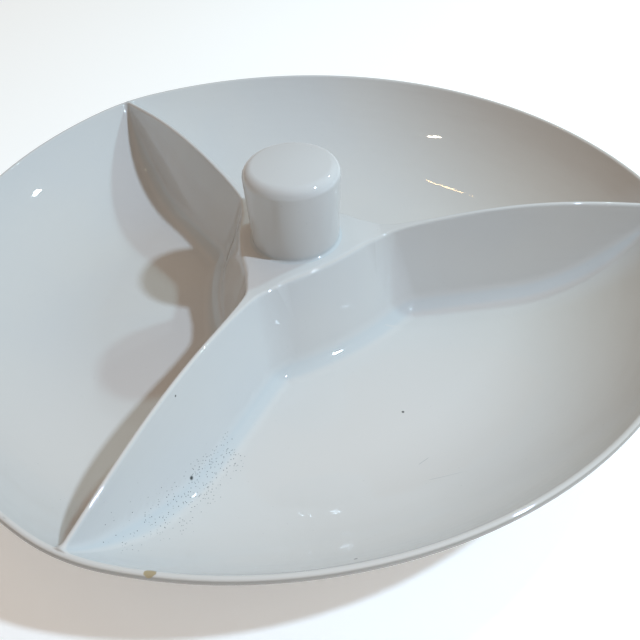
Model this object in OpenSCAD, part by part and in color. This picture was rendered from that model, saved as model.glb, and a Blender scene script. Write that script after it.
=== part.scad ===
// Divided serving bowl: a white porcelain dish with three compartments and a lifting knob.
// Seven clay pieces are luted together and fired: a shell, three dividers, a hub, a knob and a foot ring.
// Z is up, the origin is on the three-fold axis in the plane of the foot, and one divider points along X.

/* [Rim outline] */
// Distance from the axis to the rim in the middle of a side
side_reach = 147; // [135:1:160]
// Distance from the axis back to the centre of a side's round outline
side_offset = 19; // [10:1:30]
// Depth by which the tip between two sides is cut back to a round end
corner_trim = 0.7; // [0.4:0.1:2]

/* [Shell] */
// Thickness of the floor and the wall
wall_t = 5; // [4:0.5:7]
// Height of the rim above the floor
depth = 32.5; // [28:0.5:38]
// Plan length of the curved wall, from the flat floor to the middle of the rim
wall_run = 62; // [50:1:70]

/* [Foot] */
// Height of the foot ring
foot_h = 4; // [2:0.5:8]
// Width of the foot ring where it meets the floor
foot_w = 8; // [5:0.5:12]
// Width of the flat that the dish stands on
foot_land = 4; // [2:0.5:5]
// Distance from the edge of the flat floor in to the foot ring
foot_margin = 2; // [1:0.5:6]

/* [Hub] */
// Height of the hub above the floor
hub_h = 34.5; // [30:0.5:40]
// Distance from the axis to the middle of a hub face, at the top
hub_reach = 22.5; // [20:0.5:26]
// Plan radius of a bulging hub face, at the top
hub_face_r = 110; // [80:1:150]
// Distance from the axis to the joint between the hub and a divider
hub_arm = 33; // [30:0.5:34]
// Slope of the hub faces away from upright, in degrees
hub_draft = 21; // [10:1:24]
// Rounding of the upper edge of the hub
hub_lip_r = 2.5; // [1.5:0.5:4]
// Radius of the sweep from a hub face into the floor
hub_sweep_r = 8; // [5:0.5:12]

/* [Dividers] */
// Half the width of a divider at the highest point of its upper edge
divider_half_w = 2.2; // [1.6:0.1:3]
// Slope of the divider faces away from upright, in degrees
divider_draft = 17; // [8:1:20]
// Radius of the rounded ridge along the upper edge
divider_ridge_r = 3; // [2:0.5:4]
// Depth of the upper edge below the hub top where a divider leaves the hub
divider_start_drop = 1.5; // [0.5:0.5:4]
// Depth of the upper edge below the rim where a divider reaches it
divider_end_drop = 1.2; // [0.6:0.2:3]
// Rise of the arched upper edge above a straight line between its ends
divider_rise = 4.5; // [2:0.5:9]
// Radius of the sweep from a divider face into the floor
divider_sweep_r = 7; // [4:0.5:10]
// Length of the flared root that carries the hub faces on into a divider
root_len = 18; // [14:1:22]

/* [Knob] */
// Height of the knob above the hub
knob_h = 34; // [24:1:45]
// Radius of the knob at its widest, below the rounded top edge
knob_r = 18.8; // [16:0.2:20]
// Radius of the knob where it leaves the hub
knob_foot_r = 17.4; // [14:0.2:18]
// Rounding of the upper edge of the knob
knob_edge_r = 4.5; // [2:0.5:6]
// Height of the domed crown above the rounded edge
knob_crown = 0.8; // [0.4:0.1:2]
// Radius of the glaze fillet at the foot of the knob
knob_fillet_r = 1.6; // [0.6:0.2:3]

/* [Hollow underside] */
// Thickness of the hub and the knob around their hollows
hollow_t = 6; // [4:0.5:8]
// Distance from the end of the channel under a divider to the foot ring
channel_margin = 6; // [2:1:20]
// Width of the flat roof of the channel under a divider
channel_roof_w = 4; // [2:0.5:6]
// Thickness of a divider beside the channel under it
channel_t = 5.5; // [4:0.5:7]

/* [Hidden] */
sides = 3;
side_angle = 360 / sides;
$fn = 96;
// How far cutting bodies run past the faces that they cut
cut = 1;
// Angle at which a swept foot meets the floor, so that it ends in an edge of some thickness
sweep_end = 20;
// Slope of the shoulders beside the ridge of a divider
ridge_slope = 45;
// Segments of a rounded stretch of the knob
arc_steps = 8;
// Directions in a half section: up, in towards the axis, and down
up = 90;
inward = 180;
down = 270;

glaze = "#e9eef0";
bisque = "#e6ded0";

// Heights
floor_z = foot_h + wall_t;
rim_z = floor_z + depth;
hub_z = floor_z + hub_h;
knob_z = hub_z + knob_h;

// Each side of the rim is an arc whose centre lies beyond the axis
side_r = side_reach + side_offset;
corner_tip = sqrt(side_r * side_r - pow(side_offset * sin(side_angle / 2), 2)) - side_offset * cos(side_angle / 2);
corner_reach = corner_tip - corner_trim;

// The wall is a bent strip: its middle line leaves the floor level and ends in the middle of the rim
rim_r = wall_t / 2;
wall_mid_r = (wall_run * wall_run + depth * depth) / (2 * depth);
wall_angle = atan2(wall_run, wall_mid_r - depth);
wall_inset = wall_run + rim_r;
bend_z = floor_z + wall_mid_r - rim_r;

// The foot is a round ring under the flat floor
foot_outer = side_reach - wall_inset - foot_margin;
foot_inner = foot_outer - foot_w;

// The axis of a round hub face lies beyond the axis of the dish
hub_offset = hub_face_r - hub_reach;

// The upper edge of a divider is an arc from the hub to the rim
edge_start = [hub_arm, hub_z - divider_start_drop];
edge_end = [corner_reach - wall_t, rim_z - divider_end_drop];
edge_chord = norm(edge_end - edge_start);
edge_r = (edge_chord * edge_chord / 4 + divider_rise * divider_rise) / (2 * divider_rise);
edge_tilt = atan2(edge_end[1] - edge_start[1], edge_end[0] - edge_start[0]);
edge_centre = (edge_start + edge_end) / 2 + (edge_r - divider_rise) * [sin(edge_tilt), -cos(edge_tilt)];
edge_top_z = edge_centre[1] + edge_r;

// The channel under a divider has walls parallel to the divider's faces
channel_reach = foot_inner - channel_margin;
channel_foot_x = divider_half_w + (edge_top_z + cut) * tan(divider_draft) - channel_t / cos(divider_draft);
channel_h = (channel_foot_x - channel_roof_w / 2) / tan(divider_draft);

// Half of a block with sloping sides, a rounded upper edge and a foot that sweeps into the floor.
// Its x runs outwards from the middle and its y is the height, with the floor at zero.
module drafted_half(top_x, h, draft, lip_r, sweep_r) {
    lip_x = top_x + lip_r * tan(draft) - lip_r / cos(draft);
    lip_touch = [lip_x, h - lip_r] + lip_r * [cos(draft), sin(draft)];
    sweep_y = sweep_r * cos(sweep_end);
    sweep_x = top_x + (h - sweep_y) * tan(draft) + sweep_r / cos(draft);
    sweep_touch = [sweep_x, sweep_y] - sweep_r * [cos(draft), sin(draft)];
    translate([lip_x, h - lip_r])
        circle(lip_r);
    difference() {
        polygon([[0, 0], [sweep_x, 0], [sweep_x, sweep_touch[1]], sweep_touch, lip_touch, [lip_x, h], [0, h]]);
        translate([sweep_x, sweep_y])
            circle(sweep_r);
    }
}

// One side of the dish, towards X. The x of its section is measured outwards from the axis of the side.
module side() {
    translate([-side_offset, 0])
        rotate_extrude()
            children();
}

// What the three sides have in common, inside the round ends of the corners
module within_sides() {
    intersection() {
        cylinder(r = corner_reach, h = knob_z);
        rotate(side_angle / 2) side() children();
        rotate(3 * side_angle / 2) side() children();
        rotate(5 * side_angle / 2) side() children();
    }
}

// Section of a side up to its outer face and over the round rim, filled in to the axis
module outer_section() {
    bend_x = side_r - wall_inset;
    outer_touch_z = rim_z - rim_r - rim_r * cos(wall_angle);
    intersection() {
        translate([bend_x, bend_z])
            circle(wall_mid_r + rim_r);
        translate([bend_x, foot_h])
            square([wall_inset, outer_touch_z - foot_h]);
    }
    translate([0, foot_h])
        square([bend_x, rim_z - foot_h]);
    translate([0, outer_touch_z])
        square([side_r - rim_r, rim_z - outer_touch_z]);
    translate([side_r - rim_r, rim_z - rim_r])
        circle(rim_r);
}

// Section of the space over the floor and inside the wall of a side
module inner_section(h) {
    bend_x = side_r - wall_inset;
    intersection() {
        union() {
            translate([bend_x, bend_z])
                circle(wall_mid_r - rim_r);
            translate([0, floor_z])
                square([bend_x, h]);
        }
        translate([0, floor_z])
            square([side_r, h]);
    }
}

// One round face of the hub, towards X. The x of its section is measured outwards from the axis of the face.
module hub_face() {
    translate([-hub_offset, 0])
        rotate_extrude()
            children();
}

// A three-sided block with such a face to each side, ending square where the dividers meet it
module three_sided(reach, from_z, to_z) {
    intersection() {
        translate([0, 0, from_z])
            rotate(side_angle / 2)
                cylinder(r = 2 * reach, h = to_z - from_z, $fn = sides);
        rotate(side_angle / 2) hub_face() children();
        rotate(3 * side_angle / 2) hub_face() children();
        rotate(5 * side_angle / 2) hub_face() children();
    }
}

module hub_section() {
    drafted_half(hub_face_r, hub_h, hub_draft, hub_lip_r, hub_sweep_r);
}

// The hollow under the hub: round faces like those outside, open through the floor
module hub_hollow() {
    roof_z = hub_z - hollow_t;
    roof_x = hub_face_r + hollow_t * tan(hub_draft) - hollow_t / cos(hub_draft);
    foot_x = roof_x + (roof_z + cut) * tan(hub_draft);
    three_sided(hub_arm - hollow_t, -cut, roof_z)
        polygon([[0, -cut], [foot_x, -cut], [roof_x, roof_z], [0, roof_z]]);
}

// The channel under the divider that points along X, open through the floor
module channel() {
    translate([0, 0, -cut])
        rotate([90, 0, 90])
            linear_extrude(channel_reach)
                polygon([[-channel_foot_x, 0], [channel_foot_x, 0],
                         [channel_roof_w / 2, channel_h], [-channel_roof_w / 2, channel_h]]);
}

module underside_hollows() {
    hub_hollow();
    for (k = [0 : sides - 1])
        rotate(k * side_angle)
            channel();
}

module dish_shell() {
    color(glaze)
        difference() {
            within_sides() outer_section();
            within_sides() inner_section(depth + cut);
            underside_hollows();
        }
}

// A straight ridge under an arched upper edge, from the hub to the wall
module divider() {
    color(glaze)
        difference() {
            intersection() {
                union() {
                    divider_bar();
                    divider_root();
                    mirror([0, 1])
                        divider_root();
                }
                divider_roof();
                rotate(side_angle / 2) side() inner_section(edge_top_z);
                rotate(-side_angle / 2) side() inner_section(edge_top_z);
            }
            channel();
        }
}

module divider_bar() {
    translate([hub_arm, 0, floor_z])
        rotate([90, 0, 90])
            linear_extrude(corner_reach - hub_arm)
                for (s = [0, 1])
                    mirror([s, 0])
                        drafted_half(divider_half_w, edge_top_z - floor_z, divider_draft,
                                     divider_half_w / 2, divider_sweep_r);
}

// The flare on one side of a divider, which carries a hub face on from the joint
module divider_root() {
    translate([0, 0, floor_z])
        intersection() {
            translate([hub_arm, divider_half_w / 2])
                cube([root_len, hub_arm, hub_h]);
            rotate(side_angle / 2)
                hub_face() hub_section();
        }
}

// Everything under the arched upper edge, with its round ridge and sloping shoulders
module divider_roof() {
    ridge_x = edge_r - divider_ridge_r;
    touch = divider_ridge_r * [cos(ridge_slope), sin(ridge_slope)];
    run = edge_top_z;
    translate([edge_centre[0], 0, edge_centre[1]])
        rotate([90, 0, 0])
            rotate_extrude()
                union() {
                    translate([ridge_x, 0])
                        circle(divider_ridge_r);
                    polygon([[ridge_x + touch[0], touch[1]], [ridge_x + touch[0] - run, touch[1] + run],
                             [ridge_x + touch[0] - run, -touch[1] - run], [ridge_x + touch[0], -touch[1]]]);
                }
}

module divider_right() {
    divider();
}

module divider_back_left() {
    rotate(side_angle) divider();
}

module divider_front_left() {
    rotate(2 * side_angle) divider();
}

module centre_hub() {
    color(glaze)
        difference() {
            translate([0, 0, floor_z])
                three_sided(hub_arm, 0, hub_h)
                    hub_section();
            underside_hollows();
            cylinder(r = knob_foot_r - hollow_t, h = hub_z + cut);
        }
}

// Points of an arc around a centre, from one angle to another
function arc(centre, r, from, to) =
    [for (i = [0 : arc_steps]) let (a = from + (to - from) * i / arc_steps) centre + r * [cos(a), sin(a)]];

// Half section of the knob above the hub: a fillet at its foot, a tapered side, a round edge and a crown
module knob_half() {
    edge_z = knob_h - knob_crown - knob_edge_r;
    taper = atan2(knob_r - knob_foot_r, edge_z);
    crown_x = knob_r - knob_edge_r;
    crown_r = (crown_x * crown_x + knob_crown * knob_crown) / (2 * knob_crown);
    crown_half = asin(crown_x / crown_r);
    fillet_z = knob_fillet_r * cos(sweep_end);
    fillet = arc([knob_foot_r + knob_fillet_r, fillet_z], knob_fillet_r, down - sweep_end, inward - taper);
    edge = arc([crown_x, edge_z], knob_edge_r, -taper, up - crown_half);
    crown = arc([0, knob_h - crown_r], crown_r, up - crown_half, up);
    polygon(concat([[0, 0]], fillet, edge, crown));
}

module lifting_knob() {
    bore_r = knob_foot_r - hollow_t;
    color(glaze)
        translate([0, 0, hub_z])
            difference() {
                rotate_extrude() knob_half();
                translate([0, 0, -cut])
                    cylinder(r = bore_r, h = knob_h - hollow_t + cut);
            }
}

module foot_ring() {
    middle = (foot_inner + foot_outer) / 2;
    color(bisque)
        rotate_extrude()
            polygon([[foot_inner, foot_h], [middle - foot_land / 2, 0],
                     [middle + foot_land / 2, 0], [foot_outer, foot_h]]);
}

dish_shell();
divider_right();
divider_back_left();
divider_front_left();
centre_hub();
lifting_knob();
foot_ring();
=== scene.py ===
import math
import bpy
import numpy as np
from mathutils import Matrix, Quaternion, Vector


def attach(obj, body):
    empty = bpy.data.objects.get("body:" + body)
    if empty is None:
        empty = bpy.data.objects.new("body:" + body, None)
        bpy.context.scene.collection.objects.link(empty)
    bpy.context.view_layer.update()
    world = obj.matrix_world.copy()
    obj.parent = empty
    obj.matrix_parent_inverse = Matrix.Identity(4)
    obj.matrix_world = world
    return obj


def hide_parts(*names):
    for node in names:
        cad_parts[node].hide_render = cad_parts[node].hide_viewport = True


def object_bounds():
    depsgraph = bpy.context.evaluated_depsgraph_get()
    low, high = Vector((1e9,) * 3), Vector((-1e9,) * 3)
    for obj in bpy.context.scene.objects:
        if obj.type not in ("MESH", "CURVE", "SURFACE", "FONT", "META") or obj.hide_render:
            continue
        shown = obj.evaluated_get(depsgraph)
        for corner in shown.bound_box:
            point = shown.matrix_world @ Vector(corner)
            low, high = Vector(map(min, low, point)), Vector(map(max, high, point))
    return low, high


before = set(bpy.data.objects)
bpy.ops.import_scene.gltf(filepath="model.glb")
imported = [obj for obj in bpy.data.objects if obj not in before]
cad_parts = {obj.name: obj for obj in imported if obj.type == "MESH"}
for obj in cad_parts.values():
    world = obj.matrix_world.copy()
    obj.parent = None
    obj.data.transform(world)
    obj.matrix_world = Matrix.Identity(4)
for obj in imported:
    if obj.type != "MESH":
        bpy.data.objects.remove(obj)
cad_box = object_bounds()


# Dish shell: a shallow porcelain bowl on a plan of three bowed sides, slip-cast about 5 mm thick.
# Its floor bends up into a flared wall that ends in a full round rim, and clear glaze covers all of it.
# The dividers and the hub are luted on, so one glazed skin runs over every joint. Sizes are in millimetres.
side_offset, corner_soft = 19.0, 2.8
side_r = side_offset - cad_box[0][0] * 1000
floor_z, floor_t, rim_z, rim_r, bend_rho = 9.0, 5.0, 41.5, 1.3, 101.5
rim_rho, rim_mid_z = side_r - rim_r, rim_z - rim_r
wall_run = rim_rho - bend_rho
rise_in, rise_out = rim_mid_z - floor_z, rim_mid_z - floor_z + floor_t
wall_in_r = (wall_run ** 2 + rise_in ** 2 - rim_r ** 2) / (2 * (rise_in + rim_r))
wall_out_r = (wall_run ** 2 + rise_out ** 2 - rim_r ** 2) / (2 * (rise_out - rim_r))
lean_in = math.atan2(wall_run, wall_in_r - rise_in)
lean_out = math.atan2(wall_run, wall_out_r - rise_out)
bend_in_z, bend_out_z = floor_z + wall_in_r, floor_z - floor_t + wall_out_r
inner_rho = rim_rho - rim_r * math.sin(lean_in)
outer_rho = rim_rho + rim_r * math.sin(lean_out)


def soft_max(a, b, k):
    """The larger of two values, eased where they differ by less than k."""
    return np.maximum(a, b) + np.maximum(k - np.abs(a - b), 0) ** 2 / (4 * k)


def soft_step(x, start, end):
    """Zero up to start, one from end on, eased between."""
    t = np.clip((x - start) / (end - start), 0, 1)
    return t * t * (3 - 2 * t)


def rounded_join(a, b, r):
    """Distance outside two forms put together, with a fillet in the crease between them."""
    return np.maximum(r, np.minimum(a, b)) - np.hypot(np.maximum(r - a, 0), np.maximum(r - b, 0))


def rounded_edge(a, b, r):
    """Distance outside what two forms share, with a round on the edge between them."""
    return np.minimum(-r, np.maximum(a, b)) + np.hypot(np.maximum(r + a, 0), np.maximum(r + b, 0))


def side_rho(x, y):
    """Distance from the centre of the nearest side's arc, eased where two sides meet in a corner."""
    rho = [np.hypot(x + side_offset * math.cos(a), y + side_offset * math.sin(a))
           for a in (math.pi / 3, -math.pi / 3, math.pi)]
    return soft_max(soft_max(rho[0], rho[1], corner_soft), rho[2], corner_soft)


def bowl_z(x, y):
    """Height of the inside of the bowl and the crest of its rim, without hub or dividers."""
    rho = side_rho(x, y)
    wall = bend_in_z - np.sqrt(wall_in_r ** 2 - np.clip(rho - bend_rho, 0, inner_rho - bend_rho) ** 2)
    crest = rim_mid_z + np.sqrt(np.maximum(rim_r ** 2 - (rho - rim_rho) ** 2, 0))
    return np.where(rho < inner_rho, wall, crest)


# The clay raised from the bowl: a hub with three bulging faces, and a divider along X, u being the way out
hub_z, hub_reach, hub_face_r = 43.5, 22.5, 110.0
hub_slope = math.tan(math.radians(21))
edge_start_u, edge_end_u, edge_start_z, edge_end_z = 34.0, 157.0, 42.8, 41.3
edge_rise, edge_fullness, hub_blend = 6.2, 1.15, 12.0
edge_half, edge_flare, flare_start_u, flare_length = 0.8, 3.8, 31.0, 9.5
slope_near_hub, slope_near_rim, slope_start_u, slope_end_u = 0.285, 0.13, 38.0, 140.0
face_tilt = math.cos(math.radians(17))
hub_lip, ridge_lip, lip_start_u, lip_end_u = 1.6, 0.8, 24.0, 44.0
crease_r, foot_sweep, rim_sweep, rim_sweep_rho = 4.4, 6.5, 2.2, 138.0
crest_start, crest_end = rim_rho - 0.8, rim_rho - 0.05
search_below, search_above, halvings = 0.5, 5.0, 36
round_depth = 1 - math.sqrt(0.5)


def hub_faces(x, y):
    """Distance from the axis of the nearest round face of the hub, in plan."""
    back = hub_face_r - hub_reach
    return np.maximum(np.hypot(x + back / 2, y + back * math.sin(math.pi / 3)),
                      np.hypot(x + back / 2, y - back * math.sin(math.pi / 3)))


def divider_section(u):
    """Height of a divider's arched upper edge, half its width, and the slope of its faces."""
    along = np.clip((u - edge_start_u) / (edge_end_u - edge_start_u), 0, 1)
    arch = edge_rise * np.sin(np.pi * along) ** edge_fullness
    near_hub = 1 - soft_step(u, edge_start_u - hub_blend, edge_start_u)
    upper = edge_start_z + (edge_end_z - edge_start_z) * along + arch + (hub_z - edge_start_z) * near_hub
    half = edge_half + edge_flare * np.exp(-np.maximum(u - flare_start_u, 0) / flare_length)
    return upper, half, np.interp(u, [slope_start_u, slope_end_u], [slope_near_hub, slope_near_rim])


def clay_parts(x, y, z):
    """Distances above the bowl and outside the raised clay, the sweep between, and depth under an edge."""
    rho = side_rho(x, y)
    over = np.maximum(rho - bend_rho, 0)
    wall = wall_in_r - np.hypot(over, z - bend_in_z)
    rim = np.hypot(rho - rim_rho, z - rim_mid_z) - rim_r
    bowl = np.where(np.arctan2(over, bend_in_z - z) < lean_in, wall, rim)
    upper, half, slope = divider_section(x)
    hub = hub_faces(x, y) - hub_face_r - (hub_z - z) * hub_slope
    bar = np.hypot(y, np.minimum(x, 0)) - half - (upper - z) * slope
    star = rounded_join(hub, bar, crease_r) * face_tilt
    lip = np.interp(x, [lip_start_u, lip_end_u], [hub_lip, ridge_lip])
    raised = rounded_edge(star, z - upper, lip)
    sweep = foot_sweep + (rim_sweep - foot_sweep) * soft_step(rho, rim_sweep_rho, inner_rho)
    return bowl, raised, sweep, -np.maximum(star, z - upper) / lip


def glazed_z(x, y):
    """Height of the glazed skin, found by halving, in the sixth of the dish beside the divider along X."""
    wall = bowl_z(x, y)
    low, high = wall - search_below, np.full_like(wall, hub_z + search_above)
    for _ in range(halvings):
        z = (low + high) / 2
        bowl, raised, sweep, _ = clay_parts(x, y, z)
        above = rounded_join(bowl, raised, sweep) > 0
        low, high = np.where(above, low, z), np.where(above, z, high)
    return wall + ((low + high) / 2 - wall) * (1 - soft_step(side_rho(x, y), crest_start, crest_end))


def glaze_depth_and_lip_shade(x, y):
    """How the glaze lies: up to one where it gathers in a sweep, down to minus one on an edge."""
    bowl, raised, _, edge = clay_parts(x, y, glazed_z(x, y))
    gathered = np.clip(np.minimum(bowl, raised) / (round_depth * foot_sweep), 0, 1)
    return gathered - np.clip(edge / round_depth, 0, 1)


# The underside follows the wall and the floor, with a hollow under the hub and a channel under each divider
hollow_roof, hollow_t, hollow_end_u, hollow_end_slope = 37.5, 6.0, 27.0, 7.0
channel_roof, channel_half, channel_slope, channel_end_u, channel_end_slope = 27.5, 2.0, 0.25, 62.5, 6.0
hollow_soft, floor_soft = 3.0, 2.0


def under_z(x, y):
    """Height of the underside, in the same sixth."""
    over = np.clip(side_rho(x, y) - bend_rho, 0, outer_rho - bend_rho)
    plain = bend_out_z - np.sqrt(wall_out_r ** 2 - over ** 2)
    room = hub_face_r + hollow_t * hub_slope - hollow_t / face_tilt
    hub_side, hub_end = (hub_faces(x, y) - room) / hub_slope, (x - hollow_end_u) * hollow_end_slope
    bar_side, bar_end = (np.abs(y) - channel_half) / channel_slope, (x - channel_end_u) * channel_end_slope
    under_hub = hollow_roof - soft_max(0, soft_max(hub_side, hub_end, hollow_soft), hollow_soft)
    under_bar = channel_roof - soft_max(0, soft_max(bar_side, bar_end, hollow_soft), hollow_soft)
    return soft_max(plain, soft_max(under_hub, under_bar, hollow_soft), floor_soft)


def plan_slope(height, x, y, step=0.04):
    """How fast a height over the plan grows along X and along Y."""
    along_x = height(x + step, y) - height(x - step, y)
    along_y = height(x, y + step) - height(x, y - step)
    return np.stack([along_x, along_y], -1) / (2 * step)


def skin_normals(height, x, y, up):
    n = np.concatenate([-plan_slope(height, x, y), np.ones_like(x)[..., None]], -1) * up
    return n / np.linalg.norm(n, axis=-1, keepdims=True)


# Lines of the mesh run along the divider in its strip, and fan out from the hub beside it. Rows of the mesh
# go from the bore to the joint with the hub, and on to the rim, closer together where the skin bends.
bore_r, joint_u, strip_half = 11.4, 33.0, 22.0
ridge_v, face_v, slot_u = 3.0, 14.0, 70.0
fan_lines, fan_bend, fan_end_u = 24, np.array([29.5, 33.5]), 22.0


def spaced(stops, counts):
    """Values from the first stop to the last, with a number of even steps from each stop to the next."""
    parts = [np.linspace(a, b, n, endpoint=False) for a, b, n in zip(stops, stops[1:], counts)]
    return np.append(np.concatenate(parts), stops[-1])


def reach_rho(start, way, rho):
    """Where lines from given points reach a distance from the centre of the nearest side's arc."""
    low, high = np.zeros(len(start)), np.full(len(start), 2 * side_r)
    for _ in range(halvings):
        mid = (low + high) / 2
        p = start + way * mid[:, None]
        inside = side_rho(p[:, 0], p[:, 1]) < rho
        low, high = np.where(inside, mid, low), np.where(inside, high, mid)
    return start + way * low[:, None]


strip_v = spaced((0, ridge_v, face_v, strip_half), (12, 24, 7))
strip_start = np.stack([np.full_like(strip_v, joint_u), strip_v], -1)
strip_end = reach_rho(strip_start, np.array([[1.0, 0.0]]), rim_rho)
fan = np.linspace(0, 1, fan_lines + 1)[1:, None]
fan_end = fan_end_u * np.array([1, math.tan(math.pi / 3)])
fan_start = (1 - fan) ** 2 * strip_start[-1] + 2 * fan * (1 - fan) * fan_bend + fan ** 2 * fan_end
strip_angle = math.atan2(strip_end[-1, 1], strip_end[-1, 0])
fan_angle = strip_angle + (math.pi / 3 - strip_angle) * fan
fan_way = np.concatenate([np.cos(fan_angle), np.sin(fan_angle)], -1)
joint_plan = np.concatenate([strip_start, fan_start])
rim_plan = np.concatenate([strip_end, reach_rho(np.zeros_like(fan_way), fan_way, rim_rho)])
bore_plan = bore_r * joint_plan / np.linalg.norm(joint_plan, axis=1, keepdims=True)
rim_way = plan_slope(side_rho, rim_plan[:, 0], rim_plan[:, 1])
rim_way /= np.linalg.norm(rim_way, axis=1, keepdims=True)
lip_plan = rim_plan + rim_way * (outer_rho - rim_rho)
hub_rows = spaced((0, 0.2, 0.26, 0.3, 1), (2, 1, 1, 63))
bowl_rows = spaced((0, 0.12, 0.86, 0.97, 1), (32, 36, 16, 9))
slot_row = int(np.argmin(np.abs(bowl_rows - (slot_u - joint_u) / (strip_end[0, 0] - joint_u))))
last = len(joint_plan) - 1


def around(sixth):
    """The six mirrored sixths of a surface, joined into one round."""
    parts = []
    for k in range(3):
        for angle, line, sign in ((k, slice(0, last), 1), (k + 1, slice(last, 0, -1), -1)):
            c, s = math.cos(angle * math.tau / 3), math.sin(angle * math.tau / 3)
            x, y, z = np.moveaxis(sixth[:, line] * [1, sign, 1], -1, 0)
            parts.append(np.stack([c * x - s * y, s * x + c * y, z], -1))
    return np.concatenate(parts, 1)


def lifted(inner, outer, rows, height, up=1.0):
    """A round surface between two lines of the plan: its points, normals and, as heights, glaze depths."""
    plan = inner + (outer - inner) * rows[:, None, None]
    x, y = plan[..., 0], plan[..., 1]
    depth = np.zeros(x.shape + (3,))
    if height is glazed_z:
        depth[..., 2] = glaze_depth_and_lip_shade(x, y)
    points = np.concatenate([plan, height(x, y)[..., None]], -1)
    return around(points), around(skin_normals(height, x, y, up)), around(depth)


hub_top = lifted(bore_plan, joint_plan, hub_rows, glazed_z)
hub_under = lifted(bore_plan, joint_plan, hub_rows, under_z, -1.0)
bowl_top = lifted(joint_plan, rim_plan, bowl_rows, glazed_z)
bowl_bare = lifted(joint_plan, rim_plan, bowl_rows, bowl_z)
bowl_under = lifted(joint_plan, lip_plan, bowl_rows, under_z, -1.0)

# The outer half of the rim turns over from its crest to the outer wall, with painted shade darkening it there
rim_steps, shade_turn, lip_shade_depth = 12, 0.5, -2.0
turn = np.linspace(math.pi / 2, lean_out - math.pi / 2, rim_steps + 1)[:, None, None]
rim_face = np.concatenate([rim_way * np.cos(turn), np.sin(turn) * np.ones((len(rim_plan), 1))], -1)
rim_middle = np.append(rim_plan, np.full((len(rim_plan), 1), rim_mid_z), axis=1)
rim_shade_depth = np.zeros_like(rim_face)
# Painted shade: the depth falls from nothing at the crest to the lip's shade value on the outer side.
rim_shade_depth[..., 2] = lip_shade_depth * soft_step(-turn[..., 0], -math.pi / 2, -shade_turn)
rim = around(rim_middle + rim_r * rim_face), around(rim_face), around(rim_shade_depth)


def lines(surface, first, count, rows=slice(None)):
    """A stretch of a round surface."""
    pick = np.arange(first, first + count + 1) % surface[0].shape[1]
    return tuple(part[rows][:, pick] for part in surface)


def row_points(surface, first, count, row):
    """The points of one row in a stretch of a round surface."""
    return lines(surface, first, count, [row])[0][0]


def wall_between(upper, lower):
    """The joint face between two edges of the same length."""
    points = np.stack([upper, lower])
    n = np.cross(np.gradient(upper, axis=0), [0, 0, 1.0])
    n /= np.maximum(np.linalg.norm(n, axis=1, keepdims=True), 1e-9)
    return points, np.stack([n, n]), np.zeros_like(points)


def clay_piece(name, *patches):
    """A closed mesh in metres, welded from patches of points, normals and depths, sharp between patches."""
    welds_per_mm = 2000
    points, faces, corner_normals, depths, patch_of, start = [], [], [], [], [], 0
    for number, (p, n, d) in enumerate(patches):
        index = np.arange(p.shape[0] * p.shape[1]).reshape(p.shape[:2])
        quads = np.stack([index[:-1, :-1], index[1:, :-1], index[1:, 1:], index[:-1, 1:]], -1).reshape(-1, 4)
        p, n = p.reshape(-1, 3), n.reshape(-1, 3)
        corner = p[quads]
        out = np.cross(corner[:, 2] - corner[:, 0], corner[:, 3] - corner[:, 1])
        if (out * n[quads[:, 0]]).sum() < 0:
            quads = quads[:, ::-1]
        points.append(p)
        depths.append(d.reshape(-1, 3)[:, 2])
        faces.append(quads + start)
        corner_normals.append(n[quads])
        patch_of += [number] * len(quads)
        start += len(p)
    points, depths = np.concatenate(points), np.concatenate(depths)
    grid = np.round(points * welds_per_mm).astype(np.int64)
    _, keep, same = np.unique(grid, axis=0, return_index=True, return_inverse=True)
    faces = same.reshape(-1)[np.concatenate(faces)]
    loops, normals, patches_at = [], [], {}
    for face, normal, number in zip(faces.tolist(), np.concatenate(corner_normals), patch_of):
        distinct = [i for i in range(4) if face[i] != face[i - 1]]
        if len(distinct) > 2 and len(set(face)) == len(distinct):
            loops.append([face[i] for i in distinct])
            normals.append(normal[distinct])
            for a, b in zip(loops[-1], loops[-1][1:] + loops[-1][:1]):
                patches_at.setdefault((min(a, b), max(a, b)), set()).add(number)
    mesh = bpy.data.meshes.new(name)
    mesh.from_pydata((points[keep] / 1000).tolist(), [], loops)
    # Besides the glaze's depth, this carries painted shade on the outer lip, as values below minus one.
    mesh.attributes.new("glaze_depth_and_lip_shade", "FLOAT", "POINT").data.foreach_set("value", depths[keep])
    mesh.polygons.foreach_set("use_smooth", np.ones(len(loops), dtype=bool))
    sharp = [len(patches_at[min(edge.vertices), max(edge.vertices)]) > 1 for edge in mesh.edges]
    mesh.edges.foreach_set("use_edge_sharp", sharp)
    mesh.normals_split_custom_set(np.concatenate(normals).tolist())
    piece = bpy.data.objects.new(name, mesh)
    bpy.context.scene.collection.objects.link(piece)
    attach(piece, "root")
    return piece


# The shell's skin is open between the dividers. Under each it has a slot near the hub and a sunk face beyond
round_lines, strip, sunk = 6 * last, len(strip_v) - 1, 0.15
patches = [lines(rim, 0, round_lines)]
for k in range(3):
    axis = 2 * last * k
    clear = axis + strip, 2 * (last - strip)
    under = axis - strip, 2 * strip
    patches.append(lines(bowl_top, *clear))
    patches.append(lines(bowl_under, *clear))
    patches.append(wall_between(row_points(bowl_top, *clear, 0), row_points(bowl_under, *clear, 0)))
    hidden = lines(bowl_bare, *under, slice(slot_row, None))
    hidden[0][:-1, 1:-1, 2] -= sunk
    patches.append(hidden)
    patches.append(lines(bowl_under, *under, slice(slot_row, None)))
    patches.append(wall_between(hidden[0][0], row_points(bowl_under, *under, slot_row)))
    for line in ((axis - strip) % round_lines, axis + strip):
        patches.append(wall_between(bowl_top[0][:slot_row + 1, line], bowl_under[0][:slot_row + 1, line]))
shell = clay_piece("dish_shell_glazed", *patches)
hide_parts("dish_shell")


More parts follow.
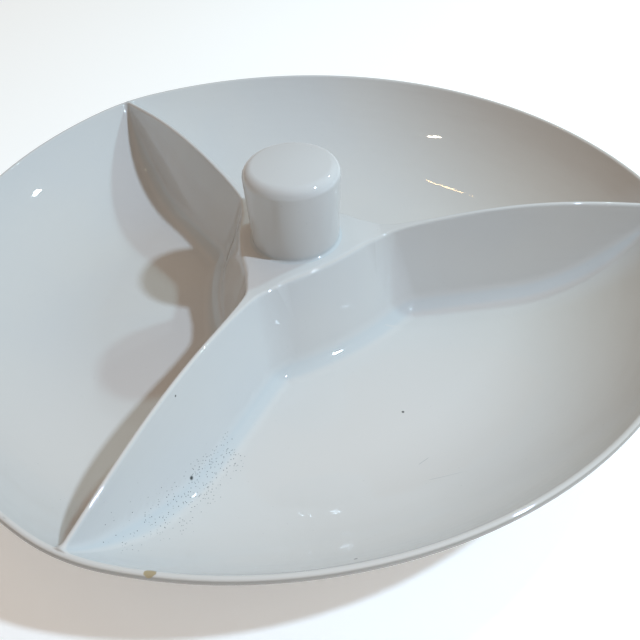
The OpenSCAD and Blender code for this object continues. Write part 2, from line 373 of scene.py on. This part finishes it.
class Shade:
    """A socket of a material's nodes; sums on it add Math nodes, and node() adds any other node."""

    def __init__(self, tree, socket):
        self.tree, self.socket = tree, socket

    def node(self, kind, settings=(), out=0, **inputs):
        """A new node with settings; an input is named, or given by number as i0, i1 and so on."""
        made = self.tree.nodes.new("ShaderNode" + kind)
        for key, value in dict(settings).items():
            setattr(made, key, value)
        for key, value in inputs.items():
            by_number = key[0] == "i" and key[1:].isdigit()
            socket = made.inputs[int(key[1:]) if by_number else key]
            if isinstance(value, Shade):
                self.tree.links.new(value.socket, socket)
            else:
                socket.default_value = value
        return Shade(self.tree, made.outputs[out])

    def __add__(self, other):
        return self.node("Math", {"operation": "ADD"}, i0=self, i1=other)

    def __sub__(self, other):
        return self.node("Math", {"operation": "SUBTRACT"}, i0=self, i1=other)

    def __rsub__(self, other):
        return self.node("Math", {"operation": "SUBTRACT"}, i0=other, i1=self)

    def __mul__(self, other):
        return self.node("Math", {"operation": "MULTIPLY"}, i0=self, i1=other)

    def __abs__(self):
        return self.node("Math", {"operation": "ABSOLUTE"}, i0=self)

    __radd__, __rmul__ = __add__, __mul__

    def vector(self, operation, other, out=0):
        return self.node("VectorMath", {"operation": operation}, out=out, i0=self, i1=other)

    def length(self):
        return self.node("VectorMath", {"operation": "LENGTH"}, out=1, i0=self)

    def part(self, number):
        """One of the three parts of a vector."""
        return self.node("SeparateXYZ", out=number, Vector=self)

    def ramp(self, start, end):
        """Zero up to start, one from end on, eased between; start may be the larger."""
        eased = {"interpolation_type": "SMOOTHSTEP"}
        return self.node("MapRange", eased, i0=self, i1=start, i2=end, i3=0.0, i4=1.0)

    def mixed(self, colour_a, colour_b):
        """A colour that goes from one to the other as this value goes from zero to one."""
        return self.node("Mix", {"data_type": "RGBA"}, out=2, i0=self, i6=colour_a, i7=colour_b)

    def noise(self, scale, detail, roughness=0.5):
        return self.node("TexNoise", Vector=self, Scale=scale, Detail=detail, Roughness=roughness)

    def within(self, centre, radii):
        """One at a point of the object, given in millimetres, fading to zero at the radii around it."""
        away = self.vector("SUBTRACT", [c / 1000 for c in centre])
        return away.vector("DIVIDE", [r / 1000 for r in radii]).length().ramp(1.0, 0.3)

    def beside(self, output):
        """Another output of the node that this value comes from."""
        return Shade(self.tree, self.socket.node.outputs[output])

    def feed(self, shader, name):
        self.tree.links.new(self.socket, shader.inputs[name])


def new_material(name):
    material = bpy.data.materials.new(name)
    material.use_nodes = True
    tree = material.node_tree
    place = tree.nodes.new("ShaderNodeTexCoord").outputs["Object"]
    return material, tree.nodes["Principled BSDF"], Shade(tree, place)


# The glaze is off-white, bluer where it gathers in a sweep and creamier where it thins on an edge. Painted
# shade makes it tan on the walls towards the right end and brown on the outer lip, and painted light makes
# faces that look up in the front half lighter and creamier. Here a place is in metres.
cool_white, warm_white = (0.59, 0.588, 0.584, 1), (0.61, 0.60, 0.584, 1)
# The tan in this line is painted shade for the walls at the right end, and the cream is painted light for
# faces that look up in the front half.
right_shade_tan, top_light_cream = (0.53, 0.485, 0.435, 1), (0.665, 0.63, 0.60, 1)
# The brown in this line is painted shade on the outer lip.
pooled_blue, thin_cream, lip_shade_brown = (0.49, 0.54, 0.565, 1), (0.62, 0.58, 0.52, 1), (0.31, 0.28, 0.25, 1)
pooled_share, thin_share, lip_shade_share, ridge_share = 0.5, 0.4, 0.7, 0.35
right_shade_start, right_shade_end, ridge_near, ridge_far = 0.015, 0.135, 0.006, 0.026
top_light_start, top_light_end = 0.01, -0.09
glaze, shader, place = new_material("clear_glaze_on_porcelain")
# The depth read here is the glaze's, and below minus one it is the painted shade of the outer lip.
laid_and_lip_shade = place.node("Attribute", {"attribute_name": "glaze_depth_and_lip_shade"}, out=2)
cloud = place.noise(16.0, 3.0)
east, north, upward = place.part(0), place.part(1), place.beside("Normal").part(2)
off_ridge = ridge_share + (1 - ridge_share) * abs(north).ramp(ridge_near, ridge_far)
# Painted shade: tan on surfaces that look up, growing from the middle towards the right end, less beside the
# right divider.
right_shade = east.ramp(right_shade_start, right_shade_end) * off_ridge * upward.ramp(-0.05, 0.1)
# Painted light: lighter cream on faces that look up in the front half of the dish, not where the right end is
# shaded.
top_light = upward.ramp(0.5, 0.9) * north.ramp(top_light_start, top_light_end) * (1 - right_shade)
colour = cloud.ramp(0.35, 0.65).mixed(cool_white, warm_white)
# The painted shade (tan) and then the painted light (cream) are mixed in here.
colour = right_shade.mixed(colour, right_shade_tan)
colour = top_light.mixed(colour, top_light_cream)
colour = (laid_and_lip_shade.ramp(0.0, 0.6) * pooled_share).mixed(colour, pooled_blue)
colour = (laid_and_lip_shade.ramp(-0.25, -0.95) * thin_share).mixed(colour, thin_cream)
# Painted shade: brown on the outer lip of the rim.
colour = (laid_and_lip_shade.ramp(-0.9, lip_shade_depth) * lip_shade_share).mixed(colour, lip_shade_brown)

# Iron specks in the clay: thick on one divider's foot, a few more at random, and bigger ones where they show
iron_grey, speck_cells, speck_share = (0.06, 0.065, 0.065, 1), 1150.0, 0.004
crowds = (((-44, -92, 12), (13, 15, 9), 1.1), ((-34, -81, 11), (10, 12, 8), 1.1),
          ((-53, -106, 17), (13, 15, 12), 0.8), ((-62, -119, 26), (13, 13, 12), 0.3))
big_specks = (((-44.6, -92.2, 14.9), 1.1), ((-54.0, -91.4, 46.5), 1.2), ((-45.5, -82.1, 44.9), 0.6),
              ((32, -68, 9), 0.7), ((4.5, -141.4, 34.4), 0.8))
cells = place.node("TexVoronoi", {"feature": "F1"}, Vector=place, Scale=speck_cells)
chance = cells.node("SeparateColor", Color=cells.beside("Color"))
crowded = sum(place.within(middle, radii) * share for middle, radii, share in crowds)
specks = cells.ramp(0.25, 0.12) * (crowded + speck_share - chance).ramp(-0.02, 0.05)
specks = specks + sum(place.within(middle, (r, r, r)) for middle, r in big_specks)
colour = specks.node("Clamp", Value=specks).mixed(colour, iron_grey)

# Knife cuts on the floor of the dish, each from one point in plan to another, in millimetres
cut_grey, cut_share, cut_waver, cut_reach = (0.30, 0.31, 0.32, 1), 0.5, 2.0, (40, 40, 8)


def scratch(start, end, half):
    """A fine line of some half width that fades at both ends and wavers across the way it goes."""
    start, end = Vector((*start, 0)), Vector((*end, 0))
    way, span = (end - start).normalized(), (end - start).length
    off = place.vector("SUBTRACT", start / 1000)
    along = off.vector("DOT_PRODUCT", way * 1000 / span, out=1)
    across = off.vector("DOT_PRODUCT", Vector((-way.y, way.x, 0)) * 1000, out=1)
    across = abs(across + (cloud - 0.5) * cut_waver)
    near = place.within((start + end) / 2 + Vector((0, 0, floor_z)), cut_reach)
    return across.ramp(half, half * 0.3) * along.ramp(0, 0.15) * along.ramp(1, 0.8) * near


cuts = scratch((33.6, -102.5), (47.4, -101.8), 0.22) + scratch((32.5, -94.0), (37.0, -91.0), 0.18)
colour = (cuts * cut_share).mixed(colour, cut_grey)

# A chip in the rim shows the tan clay under the glaze
clay_tan, chip_ragged = (0.42, 0.33, 0.20, 1), 0.6
chip_middle, chip_radii = (-51.4, -142.6, 41.2), (2.7, 1.9, 2.2)
ragged = (place.noise(900.0, 2.0) - 0.5) * chip_ragged
chip = (place.within(chip_middle, chip_radii) + ragged).ramp(0.35, 0.6)
colour = chip.mixed(colour, clay_tan)

# The surface is glassy, with a faint peel, pores, and flat ripples that begin some way out from the hub
ripple_squeeze, ripple_start, ripple_end, bump_height = (40.0, 40.0, 300.0), 0.075, 0.095, 0.001
peel = place.noise(90.0, 2.0, 0.4)
pores = place.noise(420.0, 1.0)
from_hub = place.vector("MULTIPLY", (1.0, 1.0, 0.0)).length()
ripples = place.vector("MULTIPLY", ripple_squeeze).noise(1.0, 1.0) * from_hub.ramp(ripple_start, ripple_end)
roughness = 0.02 + peel * 0.02 + chip * 0.5 + cuts * 0.2
relief = peel * 0.06 + pores * 0.006 + ripples * 0.1 - specks * 0.01 - chip * 0.05
colour.feed(shader, "Base Color")
roughness.feed(shader, "Roughness")
relief.node("Bump", Strength=1.0, Distance=bump_height, Height=relief).feed(shader, "Normal")
shader.inputs["IOR"].default_value = 1.52
shell.data.materials.append(glaze)


# Dividers: three straight walls of the same porcelain, cast hollow below and luted to the floor and wall.
# Each stands in a slot of the floor, leans in to an arched upper edge, and dies into the rim at a corner.
bed_depth = 0.4
for k, node in enumerate(("divider_right", "divider_back_left", "divider_front_left")):
    own = 2 * last * k - strip, 2 * strip
    top = lines(bowl_top, *own)
    slot_under = lines(bowl_under, *own, slice(0, slot_row + 1))
    wall, wall_n, wall_depth = lines(bowl_bare, *own, slice(slot_row, None))
    bed = wall - [0, 0, bed_depth], -wall_n, wall_depth
    joints = [wall_between(top[0][0], slot_under[0][0]), wall_between(top[0][-1], bed[0][-1]),
              wall_between(bed[0][0], slot_under[0][-1])]
    for column in (0, -1):
        joints.append(wall_between(top[0][:slot_row + 1, column], slot_under[0][:, column]))
        joints.append(wall_between(top[0][slot_row:, column], bed[0][:, column]))
    divider = clay_piece(node + "_wall", top, slot_under, bed, *joints)
    divider.data.materials.append(glaze)
    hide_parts(node)


# Centre hub: the three-faced porcelain block that the dividers run into, hollow underneath.
# Its bulging faces lean in, and a bore in the middle opens into the knob that is luted on top.
joints = [wall_between(row_points(hub_top, 0, round_lines, row), row_points(hub_under, 0, round_lines, row))
          for row in (-1, 0)]
hub = clay_piece("centre_hub_block", lines(hub_top, 0, round_lines), lines(hub_under, 0, round_lines),
                 *joints)
hub.data.materials.append(glaze)
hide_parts("centre_hub")


# Lifting knob: a thrown porcelain drum, a little narrower at its foot, with a soft edge and a low crown.
# It is hollow so that it dries and fires evenly, and glaze gathers in a fillet where it sits on the hub.
knob_z, knob_r, knob_foot_r, knob_edge_r = cad_box[1][2] * 1000, 18.8, 17.4, 4.5
knob_crown, knob_fillet, knob_roof, bore_bevel, knob_steps = 0.8, 1.1, 71.5, 2.0, 96
gather_h, thin_h, thin_depth, fillet_start = 2.5, 3.0, -0.4, 268


def bow(centre, r, start, end, steps):
    """Points on an arc of a half section, between angles in degrees, and the ways out from its centre."""
    a = np.radians(np.linspace(start, end, steps + 1))
    way = np.stack([np.cos(a), np.sin(a)], -1)
    return np.array(centre) + r * way, way


def spun(outline, normals, steps, depth=0.0):
    """A half section turned round the axis, with the depth of its glaze."""
    a = np.linspace(0, math.tau, steps + 1)
    a[-1] = 0
    turned = [np.stack([q[:, :1] * np.cos(a), q[:, :1] * np.sin(a), q[:, 1:] * np.ones_like(a)], -1)
              for q in (outline, normals)]
    depths = np.zeros_like(turned[0])
    depths[..., 2] = np.reshape(depth, (-1, 1))
    return *turned, depths


edge_low, crown_x = knob_z - knob_crown - knob_edge_r, knob_r - knob_edge_r
taper = math.degrees(math.atan2(knob_r - knob_foot_r, edge_low - hub_z))
crown_r = (crown_x ** 2 + knob_crown ** 2) / (2 * knob_crown)
crown_half = math.degrees(math.asin(crown_x / crown_r))
fillet_middle = knob_foot_r + knob_fillet, hub_z + knob_fillet
fillet, fillet_n = bow(fillet_middle, knob_fillet, fillet_start, 180 - taper, 9)
edge, edge_n = bow((crown_x, edge_low), knob_edge_r, -taper, 90 - crown_half, 15)
crown, crown_n = bow((0, knob_z - crown_r), crown_r, 90 - crown_half, 90, 11)
side = np.linspace(fillet[-1], edge[0], 16)[1:-1]
outside = np.concatenate([fillet, side, edge, crown[1:]])
outside_n = np.concatenate([-fillet_n, np.repeat(edge_n[:1], len(side), axis=0), edge_n, crown_n[1:]])
outside_depth = np.interp(outside[:, 1], [hub_z, hub_z + gather_h, edge_low, edge_low + thin_h, knob_z],
                          [1, 0, 0, thin_depth, 0])
bore = np.array([(0, knob_roof), (bore_r - bore_bevel, knob_roof),
                 (bore_r, knob_roof - bore_bevel), (bore_r, hub_z)])
bore_n = np.array([(0, -1), (-0.4, -0.9), (-0.9, -0.4), (-1, 0)])
seat, seat_n = np.array([(bore_r, hub_z), fillet[0]]), np.array([(0, -1), (0, -1)])
knob = clay_piece("lifting_knob_drum", spun(outside, outside_n, knob_steps, outside_depth),
                  spun(bore, bore_n, knob_steps), spun(seat, seat_n, knob_steps))
knob.data.materials.append(glaze)
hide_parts("lifting_knob")


# Foot ring: a low ring turned on the underside and left bare of glaze, so that it doesn't stick in the kiln.
# Its edges are rubbed round, and the bare clay is warmer and duller than the glaze.
foot_in, foot_out, foot_h, foot_land, foot_round = 72.5, 80.5, 4.0, 4.0, 0.8
land_inset, foot_steps = 0.3, 160
clay_cream, clay_sand = (0.80, 0.75, 0.67, 1), (0.70, 0.64, 0.55, 1)
middle, land_half = (foot_in + foot_out) / 2, foot_land / 2 - land_inset
slant = math.degrees(math.atan2(foot_h, (foot_out - foot_in - foot_land) / 2))
low_out, low_out_n = bow((middle + land_half, foot_round), foot_round, -90, slant - 90, 5)
low_in, low_in_n = bow((middle - land_half, foot_round), foot_round, -90 - slant, -90, 5)
ring = np.concatenate([[(foot_in, foot_h)], low_in, low_out, [(foot_out, foot_h)]])
ring_n = np.concatenate([low_in_n[:1], low_in_n, low_out_n, low_out_n[-1:]])
ring_top, ring_top_n = np.array([(foot_out, foot_h), (foot_in, foot_h)]), np.array([(0, 1), (0, 1)])
foot_ring = clay_piece("foot_ring_bare", spun(ring, ring_n, foot_steps),
                       spun(ring_top, ring_top_n, foot_steps))
bare, shader, place = new_material("bare_fired_porcelain")
grit = place.noise(420.0, 4.0, 0.6)
grit.ramp(0.35, 0.7).mixed(clay_cream, clay_sand).feed(shader, "Base Color")
roughness = 0.55 + grit * 0.3
roughness.feed(shader, "Roughness")
foot_ring.data.materials.append(bare)
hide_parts("foot_ring")


# Floor and light: a pale painted table that glows a little to stay near white, in a dim room with a warm
# ceiling. Two cool lamps stand at the right, the back one kept out of reflections, with a small window beside
# it that glints instead, and two weak warm lamps stand behind and at the left. Places are in metres.
table_half, dish_middle = 60.0, Vector((0, 0, 0.02))
paint_grey, paint_white, table_glow = (0.91, 0.91, 0.90, 1), (0.93, 0.925, 0.915, 1), (1.0, 0.99, 0.98, 1)
back_wall, front_wall, ceiling = (0.26, 0.19, 0.145, 1), (0.188, 0.207, 0.208, 1), (0.47, 0.392, 0.325, 1)
table_mesh = bpy.data.meshes.new("table_top")
table_corners = [(x * table_half, y * table_half, 0) for x, y in ((-1, -1), (1, -1), (1, 1), (-1, 1))]
table_mesh.from_pydata(table_corners, [], [(0, 1, 2, 3)])
table_top = bpy.data.objects.new("table_top", table_mesh)
bpy.context.scene.collection.objects.link(table_top)
paint, shader, place = new_material("white_table_paint")
place.noise(3.0, 2.0).ramp(0.3, 0.7).mixed(paint_grey, paint_white).feed(shader, "Base Color")
shader.inputs["Roughness"].default_value = 0.8
shader.inputs["Emission Color"].default_value = table_glow
shader.inputs["Emission Strength"].default_value = 0.2
table_top.data.materials.append(paint)

world = bpy.data.worlds.new("room")
bpy.context.scene.world = world
world.use_nodes = True
toward = Shade(world.node_tree, world.node_tree.nodes.new("ShaderNodeTexCoord").outputs["Generated"])
walls = toward.part(1).ramp(0.6, -0.6).mixed(back_wall, front_wall)
room = toward.part(2).ramp(-0.1, 0.8).mixed(walls, ceiling)
room.feed(world.node_tree.nodes["Background"], "Color")


def lamp(name, place, wide, tall, watts, colour):
    light = bpy.data.lights.new(name, "AREA")
    light.shape, light.size, light.size_y = "ELLIPSE", wide, tall
    light.energy, light.color = watts, colour
    holder = bpy.data.objects.new(name, light)
    holder.location = place
    holder.rotation_euler = (dish_middle - Vector(place)).to_track_quat("-Z", "Y").to_euler()
    bpy.context.scene.collection.objects.link(holder)
    return holder


lamp("right_front", (0.634, -0.321, 0.899), 0.06, 0.06, 8.7, (0.62, 0.81, 1.0))
right_back = lamp("right_back", (0.739, 0.333, 0.830), 0.06, 0.06, 3.4, (0.55, 0.88, 1.0))
right_back.visible_glossy = False
lamp("window", (0.719, 0.446, 0.806), 0.045, 0.045, 0.65, (0.7, 0.9, 1.0))
lamp("back", (-0.045, 0.664, 1.048), 0.005, 0.035, 0.016, (1.0, 0.62, 0.26))
lamp("left", (-0.408, 0.122, 1.121), 0.018, 0.04, 0.11, (1.0, 0.85, 0.62))


# Camera: it looks down on the dish from the front, rolled a little, and close enough that the left and right
# of the dish leave the frame. Its place and aim are in metres, and its lens and sensor in millimetres.
camera_place, camera_aim = Vector((-0.01051, -0.26248, 0.23577)), Vector((0.00609, -0.02545, 0.02))
camera_roll, lens, sensor = math.radians(-2.98), 45.464, 36
camera = bpy.data.objects.new("camera", bpy.data.cameras.new("camera"))
camera.data.sensor_width = sensor
camera.data.lens = lens
camera.data.clip_start = 0.01
camera.location = camera_place
aimed = (camera_aim - camera_place).to_track_quat("-Z", "Y")
camera.rotation_euler = (aimed @ Quaternion((0, 0, 1), camera_roll)).to_euler()
bpy.context.scene.collection.objects.link(camera)
bpy.context.scene.camera = camera
bpy.context.scene.view_settings.view_transform = "Standard"
